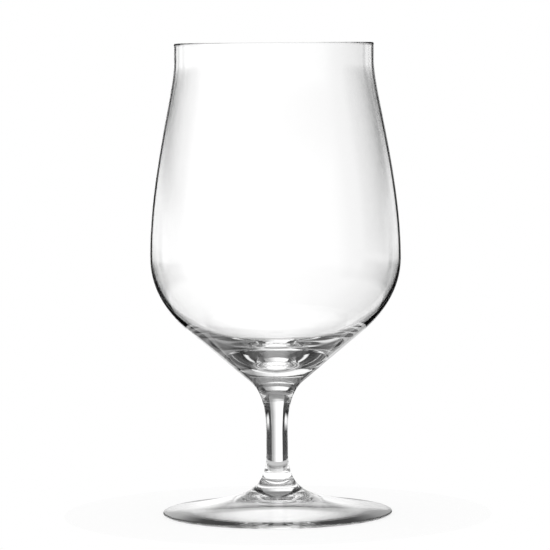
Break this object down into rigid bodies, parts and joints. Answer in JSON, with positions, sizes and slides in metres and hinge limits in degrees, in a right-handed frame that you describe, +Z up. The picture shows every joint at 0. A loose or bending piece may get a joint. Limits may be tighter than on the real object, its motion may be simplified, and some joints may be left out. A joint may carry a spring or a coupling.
{
  "type": "chalice beer glass",
  "caption": "Clear stemmed beer chalice: a tapered bowl with a heavy solid base on a slim drawn stem and a round pressed foot, for serving beer.",
  "frame": {"origin": "centre of the resting plane under the foot", "axes": "+Z up along the glass's axis of revolution, from the foot to the rim; X and Y are any two level directions"},
  "size_m": [0.0878, 0.0878, 0.165],
  "materials": {
    "clear_glass": "fire polished"
  },
  "bodies": {
    "root": {"bowl": "clear_glass", "stem": "clear_glass", "foot": "clear_glass"}
  },
  "joints": []
}
